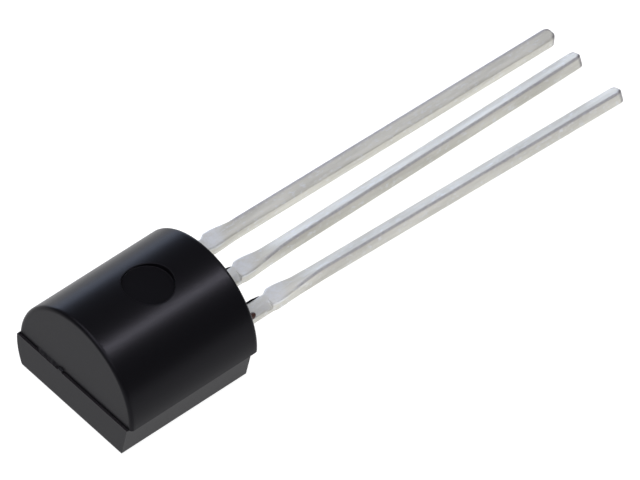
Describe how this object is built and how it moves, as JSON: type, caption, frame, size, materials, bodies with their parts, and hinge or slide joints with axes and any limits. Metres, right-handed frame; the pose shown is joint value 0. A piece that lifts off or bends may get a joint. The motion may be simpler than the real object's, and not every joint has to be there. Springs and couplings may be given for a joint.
{
  "type": "to-92 transistor",
  "caption": "Small-signal transistor in a black D-shaped moulded package, with tinned leads in one row for through-hole boards.",
  "frame": {"origin": "centre of the body's flat front face, on which the part lies", "axes": "+X along the leads, away from the body; +Y across the leads, towards the base lead; +Z out of the round back"},
  "size_m": [0.0184, 0.0046, 0.0034],
  "materials": {
    "moulding_epoxy": "satin",
    "tinned_lead": "satin",
    "silicon": "polished",
    "silver_adhesive": "matte",
    "gold_wire": "polished"
  },
  "bodies": {
    "root": {"moulded_body": "moulding_epoxy", "base_lead": "tinned_lead", "collector_lead": "tinned_lead", "emitter_lead": "tinned_lead", "silicon_die": "silicon", "die_attach": "silver_adhesive", "base_bond_wire": "gold_wire", "emitter_bond_wire": "gold_wire"}
  },
  "joints": []
}
